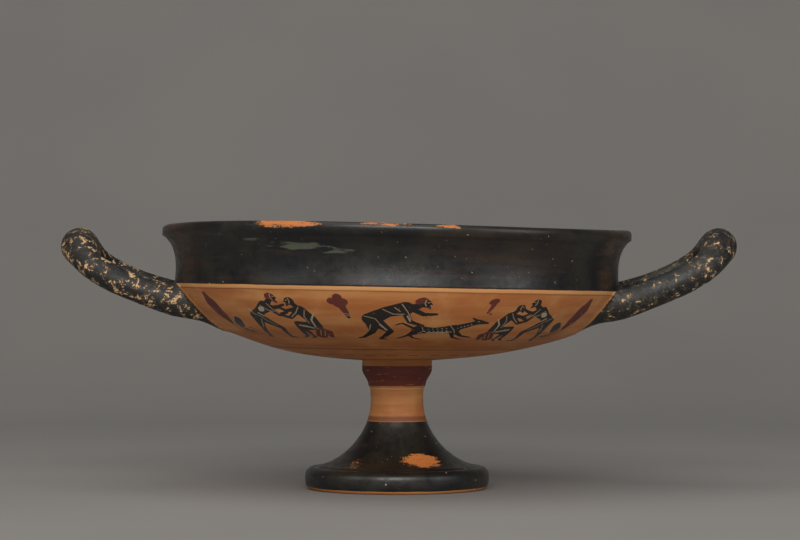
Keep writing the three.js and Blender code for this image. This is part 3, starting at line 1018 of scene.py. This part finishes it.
class Finish:
    """A material's nodes, made one after another."""

    def __init__(self, name):
        self.material = bpy.data.materials.new(name)
        self.material.use_nodes = True
        self.nodes = self.material.node_tree.nodes
        self.links = self.material.node_tree.links
        self.nodes.clear()
        self.out = self.nodes.new("ShaderNodeOutputMaterial")
        self.surface = self.nodes.new("ShaderNodeBsdfPrincipled")
        self.links.new(self.surface.outputs[0], self.out.inputs["Surface"])
        self.place = self.nodes.new("ShaderNodeTexCoord").outputs["Object"]

    def feed(self, socket, value):
        if isinstance(value, bpy.types.NodeSocket):
            self.links.new(value, socket)
        else:
            socket.default_value = value

    def field(self, name):
        node = self.nodes.new("ShaderNodeAttribute")
        node.attribute_name = name
        return node.outputs["Fac"]

    def math(self, operation, first, second=0.0, clamp=False):
        node = self.nodes.new("ShaderNodeMath")
        node.operation = operation
        node.use_clamp = clamp
        self.feed(node.inputs[0], first)
        self.feed(node.inputs[1], second)
        return node.outputs[0]

    def add(self, *values):
        total = values[0]
        for value in values[1:]:
            total = self.math("ADD", total, value)
        return total

    def times(self, *values):
        total = values[0]
        for value in values[1:]:
            total = self.math("MULTIPLY", total, value)
        return total

    def most(self, *values):
        total = values[0]
        for value in values[1:]:
            total = self.math("MAXIMUM", total, value)
        return total

    def without(self, value, taken):
        return self.times(value, self.math("SUBTRACT", 1.0, taken, clamp=True))

    def noise(self, grain, detail=3.0, stretch=(1, 1, 1), shift=(0, 0, 0), roughness=0.55):
        """Noise whose grains are about so many millimetres, stretched along the axes."""
        mapping = self.nodes.new("ShaderNodeMapping")
        mapping.inputs["Scale"].default_value = tuple(1.0 / part for part in stretch)
        mapping.inputs["Location"].default_value = shift
        self.links.new(self.place, mapping.inputs["Vector"])
        node = self.nodes.new("ShaderNodeTexNoise")
        node.inputs["Scale"].default_value = 1000.0 / grain
        node.inputs["Detail"].default_value = detail
        node.inputs["Roughness"].default_value = roughness
        self.links.new(mapping.outputs[0], node.inputs["Vector"])
        return node.outputs[0]

    def grade(self, value, low, high, to_low=0.0, to_high=1.0):
        node = self.nodes.new("ShaderNodeMapRange")
        node.interpolation_type = "SMOOTHSTEP"
        self.feed(node.inputs["Value"], value)
        node.inputs["From Min"].default_value = low
        node.inputs["From Max"].default_value = high
        node.inputs["To Min"].default_value = to_low
        node.inputs["To Max"].default_value = to_high
        return node.outputs[0]

    def blend(self, share, under, over):
        node = self.nodes.new("ShaderNodeMix")
        node.data_type = "RGBA"
        node.clamp_factor = True
        self.feed(node.inputs["Factor"], share)
        self.feed(node.inputs["A"], under)
        self.feed(node.inputs["B"], over)
        return node.outputs["Result"]

    def stripe(self, value, start, end):
        """1 where the outline's length lies between two lengths in millimetres, and 0 elsewhere."""
        middle = (start + end) / 2 / wall_line.total
        half_width = (end - start) / 2 / wall_line.total
        away = self.math("ABSOLUTE", self.math("SUBTRACT", value, middle))
        return self.math("LESS_THAN", away, half_width)

    def stripes(self, value, bands):
        """1 inside the given intervals of the outline's length and 0 elsewhere."""
        return self.most(*[self.stripe(value, start, end) for start, end in bands])

    def raise_surface(self, height):
        """Bump from a height in millimetres."""
        bump = self.nodes.new("ShaderNodeBump")
        bump.inputs["Strength"].default_value = 1.0
        bump.inputs["Distance"].default_value = MM
        self.feed(bump.inputs["Height"], height)
        self.links.new(bump.outputs[0], self.surface.inputs["Normal"])


def wandering_length(finish, unevenness):
    """The outline's length share, moved a little by the unsteadiness of a brush."""
    sway = finish.noise(14.0, detail=2.0)
    sway = finish.math("SUBTRACT", sway, 0.5)
    return finish.add(finish.field("outline_share"), finish.times(sway, unevenness / wall_line.total))


def clay_colour(finish):
    """Fired orange clay, streaked round the wheel and mottled."""
    streaks = finish.noise(7.0, detail=4.0, stretch=(9, 9, 0.7))
    mottle = finish.noise(16.0, detail=4.0, shift=(3, 1, 0))
    grain = finish.noise(0.6, detail=2.0)
    tone = finish.blend(finish.grade(streaks, 0.35, 0.7), CLAY_DEEP, CLAY)
    tone = finish.blend(finish.grade(mottle, 0.45, 0.75, 0.0, 0.5), tone, CLAY_PALE)
    return finish.blend(finish.grade(grain, 0.55, 0.8, 0.0, 0.35), tone, CLAY_DEEP)


def line_at(finish, share, length, width, softness=0.25):
    """A band of brushed slip round the cup, 1 at its middle."""
    away = finish.math("ABSOLUTE", finish.math("SUBTRACT", share, length / wall_line.total))
    outer = (width / 2 + softness) / wall_line.total
    inner = max(width / 2 - softness, 0.0) / wall_line.total
    return finish.grade(away, inner, outer, 1.0, 0.0)


def oval_marks(finish):
    """1 along the short brush marks that repeat round the bowl, and 0 between them."""
    split = finish.nodes.new("ShaderNodeSeparateXYZ")
    finish.feed(split.inputs[0], finish.place)
    turn = finish.math("ARCTAN2", split.outputs["Y"], split.outputs["X"])
    wave = finish.math("SINE", finish.times(turn, float(OVAL_MARKS)))
    return finish.grade(wave, -0.25, 0.25)


def dark_bands():
    """Intervals of the outline that carry black gloss."""
    foot = wall_line.at_height
    rim_end = wall_line.span["lip"][1]
    inner_top = wall_line.span["inside"][0]
    middle = wall_line.total
    return (
        (foot("foot", 1.2), foot("foot", 30.0)),
        (wall_line.span["lip"][0], inner_top + 6.0),
        (inner_top + 7.4, middle - 17.0),
        (middle - 15.6, middle - 13.2),
        (middle - 4.6, middle - 3.2),
        (middle - 1.4, middle + 1.0),
    )


def painted_clay():
    finish = Finish("painted_clay")
    share = wandering_length(finish, 0.5)
    at = wall_line.at_height
    clay = clay_colour(finish)

    # Pale strip under the carination, thin brushed lines on the bowl and stem, and a wide soft brown band of
    # painted shade where the bowl meets the fillet
    pale_strip = line_at(finish, share, at("bowl", 89.3), 1.8, 0.4)
    clay = finish.blend(finish.times(pale_strip, 0.75), clay, CLAY_PALE)
    brushed_lines_and_painted_shade = finish.most(
        finish.times(line_at(finish, share, at("bowl", 88.3), 0.5, 0.35), 0.55),
        finish.times(line_at(finish, share, at("bowl", 64.8), 0.5), 0.55),
        finish.times(line_at(finish, share, at("bowl", 63.6), 1.2, 0.35), 0.85),
        finish.times(line_at(finish, share, at("bowl", 61.0), 1.8, 0.4), oval_marks(finish), 0.8),
        finish.times(line_at(finish, share, at("foot", 32.2), 2.2, 0.5), 0.65),
        # painted shade: this wide soft brown band darkens the bowl's underside just above the fillet
        finish.times(line_at(finish, share, at("bowl", 58.6), 5.0, 1.0), 0.6),
    )
    clay = finish.blend(brushed_lines_and_painted_shade, clay, DILUTE_BROWN)
    pale_lines = finish.most(
        line_at(finish, share, at("foot", 42.8), 0.5, 0.2),
        line_at(finish, share, at("foot", 45.6), 0.5, 0.2),
    )
    clay = finish.blend(finish.times(pale_lines, 0.8), clay, CLAY_FLAKED)

    # Black gloss
    ragged = finish.math("SUBTRACT", finish.noise(0.9, detail=3.0), 0.5)
    soft = 0.14
    bands = finish.stripes(share, dark_bands())
    cover = finish.add(finish.field("handle_cover"), finish.times(ragged, 1.6))
    handles = finish.grade(cover, -0.25, 0.25)
    figures = finish.grade(finish.add(finish.field("figure_black"), finish.times(ragged, 0.35)), -soft, soft)
    brushed = finish.noise(5.0, detail=5.0, stretch=(7, 7, 0.6), shift=(1, 5, 2))
    cloudy = finish.noise(22.0, detail=5.0, shift=(4, 2, 1))
    rubbing = finish.field("rubbing")
    streaky = finish.add(finish.times(finish.noise(1.6, detail=5.0, stretch=(4, 4, 0.5)), 0.55),
                         finish.times(finish.noise(0.8, detail=4.0), 0.45))
    rubbed = finish.grade(finish.add(finish.times(rubbing, 0.55), streaky), 0.88, 1.02)
    flaking = finish.field("flaking")
    flake_noise = finish.add(finish.times(finish.noise(3.4, detail=3.0, shift=(2, 7, 3)), 0.55),
                             finish.times(finish.noise(1.1, detail=4.0, roughness=0.7), 0.45))
    flaked = finish.grade(finish.add(flake_noise, finish.times(flaking, 0.09)), 0.63, 0.67)
    specks = finish.grade(finish.noise(1.3, detail=2.0, shift=(9, 4, 6)), 0.735, 0.76)
    gloss_worn = finish.most(rubbed, finish.times(flaked, finish.grade(flaking, 0.05, 0.2)), specks)
    solid_gloss = finish.most(bands, handles)
    gloss = finish.without(solid_gloss, gloss_worn)

    tone = finish.blend(finish.grade(cloudy, 0.42, 0.66), GLOSS_BLUE_BLACK, GLOSS_OLIVE)
    tone = finish.blend(finish.grade(brushed, 0.5, 0.8, 0.0, 0.5), tone, GLOSS_BROWN)
    tone = finish.blend(finish.times(finish.field("browning"), finish.grade(brushed, 0.3, 0.6)),
                        tone, GLOSS_BROWN)
    scuff_noise = finish.noise(1.6, detail=5.0, stretch=(5, 5, 0.8), shift=(5, 5, 5))
    scuffs = finish.grade(finish.add(scuff_noise, finish.times(finish.field("scuffing"), 0.5)), 0.8, 1.0)
    tone = finish.blend(finish.times(scuffs, 0.75), tone, SCUFFED)
    dusty = finish.times(finish.grade(flake_noise, 0.46, 0.62), finish.grade(flaking, 0.05, 0.5))
    tone = finish.blend(finish.times(dusty, 0.6), tone, GLOSS_DUSTY)

    bared = finish.blend(finish.grade(flaking, 0.05, 0.3), CLAY_WORN, CLAY_FLAKED)
    bared = finish.blend(specks, bared, CLAY_FLAKED)
    colour = finish.blend(finish.times(solid_gloss, gloss_worn), clay, bared)
    colour = finish.blend(gloss, colour, tone)

    # Figures, tendrils, added red and white, and incised lines
    worn_paint = finish.grade(finish.noise(1.2, detail=4.0, shift=(6, 6, 1)), 0.66, 0.74)
    dilute = finish.grade(finish.add(finish.field("dilute"), finish.times(ragged, 0.5)), -soft, soft)
    colour = finish.blend(finish.times(dilute, 0.75), colour, DILUTE_BROWN)
    figures = finish.without(figures, worn_paint)
    colour = finish.blend(figures, colour, FIGURE_BLACK)
    red_band = finish.stripe(share, at("fillet", 46.4), at("fillet", 55.2))
    scraped = finish.grade(finish.noise(1.4, detail=4.0, stretch=(4, 4, 0.5), shift=(0, 2, 8)), 0.62, 0.7)
    red_touch = finish.grade(finish.add(finish.field("figure_red"), finish.times(ragged, 0.7)), -soft, soft)
    red = finish.without(finish.most(red_band, red_touch), scraped)
    colour = finish.blend(red, colour, ADDED_RED)
    white = finish.grade(finish.add(finish.field("figure_white"), finish.times(ragged, 0.6)), -soft, soft)
    colour = finish.blend(finish.times(white, 0.85), colour, ADDED_WHITE)
    incised = finish.grade(finish.field("incised"), -0.16, 0.08)
    colour = finish.blend(finish.times(incised, 0.85), colour, INCISED_CLAY)
    finish.feed(finish.surface.inputs["Base Color"], colour)

    # Sheen and relief
    black = finish.most(gloss, figures)
    smudge = finish.noise(3.0, detail=4.0, shift=(8, 0, 0))
    gloss_roughness = finish.grade(smudge, 0.3, 0.75, 0.27, 0.44)
    dull = finish.times(finish.grade(flaking, 0.0, 1.0), 0.25)
    roughness = finish.nodes.new("ShaderNodeMix")
    finish.feed(roughness.inputs["Factor"], black)
    roughness.inputs["A"].default_value = 0.62
    finish.feed(roughness.inputs["B"], finish.add(gloss_roughness, dull))
    finish.feed(finish.surface.inputs["Roughness"], roughness.outputs["Result"])
    wheel_rings = finish.noise(1.5, detail=2.0, stretch=(60, 60, 1.0), shift=(0, 0, 4))
    height = finish.add(
        finish.times(wheel_rings, 0.035),
        finish.times(finish.noise(0.35, detail=2.0), 0.02),
        finish.times(finish.noise(9.0, detail=2.0, shift=(1, 1, 1)), 0.12),
        finish.times(black, 0.035),
        finish.times(red, 0.02),
        finish.times(incised, -0.09),
        finish.times(finish.most(flaked, specks), solid_gloss, -0.07),
    )
    finish.raise_surface(height)
    return finish.material


def paper_sweep():
    """Plain pale paper with a faint tooth."""
    finish = Finish("paper")
    tooth = finish.noise(2.0, detail=3.0)
    cloud = finish.noise(260.0, detail=2.0)
    tone = finish.blend(finish.grade(cloud, 0.3, 0.7), linear(138, 135, 132), linear(143, 140, 136))
    finish.feed(finish.surface.inputs["Base Color"], tone)
    finish.surface.inputs["Roughness"].default_value = 0.85
    finish.raise_surface(finish.times(tooth, 0.03))
    return finish.material


# ---- Stage, light and camera ------------------------------------------------------------------

EYE = Vector((0.0, -1.2, 0.0905))
FOCAL_LENGTH = 120.0
LOOK_RIGHT = math.radians(0.0645)
LOOK_UP = math.radians(0.365)


def set_floor():
    """A floor that curves up into a backdrop behind the cup."""
    outline = [(-2.6, 0.0), (0.55, 0.0)]
    for step in range(1, 25):
        angle = math.radians(90 * step / 24)
        outline.append((0.55 + 0.7 * math.sin(angle), 0.7 * (1 - math.cos(angle))))
    outline.append((1.25, 2.6))
    verts = [(x, y, z) for x in (-3.0, 3.0) for y, z in outline]
    count = len(outline)
    faces = [(i, i + count, i + count + 1, i + 1) for i in range(count - 1)]
    mesh = bpy.data.meshes.new("floor")
    mesh.from_pydata(verts, [], faces)
    mesh.shade_smooth()
    mesh.materials.append(paper_sweep())
    object_of("floor", mesh)


def set_lamp(name, place, aim, size, power, tint=(1, 1, 1)):
    data = bpy.data.lights.new(name, "AREA")
    data.shape = "RECTANGLE"
    data.size, data.size_y = size
    data.energy = power
    data.color = tint
    lamp = object_of(name, data)
    lamp.location = place
    lamp.rotation_euler = (Vector(aim) - Vector(place)).to_track_quat("-Z", "Y").to_euler()


def set_lights():
    set_lamp("front_light", (-0.05, -1.7, 0.85), (0, 0, 0.08), (1.5, 1.0), 24.0, (1.0, 0.98, 0.95))
    set_lamp("top_light", (-0.2, -0.3, 1.4), (0, 0, 0.08), (1.5, 1.1), 7.0, (1.0, 0.98, 0.95))
    set_lamp("left_light", (-1.35, -0.9, 0.75), (0, 0, 0.09), (0.8, 1.0), 3.5)
    set_lamp("right_light", (1.4, -0.9, 0.6), (0, 0, 0.09), (0.8, 1.0), 5.0)
    world = bpy.data.worlds.new("studio")
    world.use_nodes = True
    world.node_tree.nodes["Background"].inputs["Color"].default_value = (0.55, 0.56, 0.58, 1)
    world.node_tree.nodes["Background"].inputs["Strength"].default_value = 0.16
    bpy.context.scene.world = world


def set_camera():
    data = bpy.data.cameras.new("camera")
    data.lens = FOCAL_LENGTH
    data.sensor_width = 36.0
    camera = object_of("camera", data)
    camera.location = EYE
    camera.rotation_euler = (math.pi / 2 + LOOK_UP, 0, -LOOK_RIGHT)
    bpy.context.scene.camera = camera


# ---- The scene --------------------------------------------------------------------------------

kylix = thrown_cup(painted_clay())
write_fields(kylix)
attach(kylix, "root")
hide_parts("cup")

set_floor()
set_lights()
set_camera()
bpy.context.scene.view_settings.view_transform = "Standard"
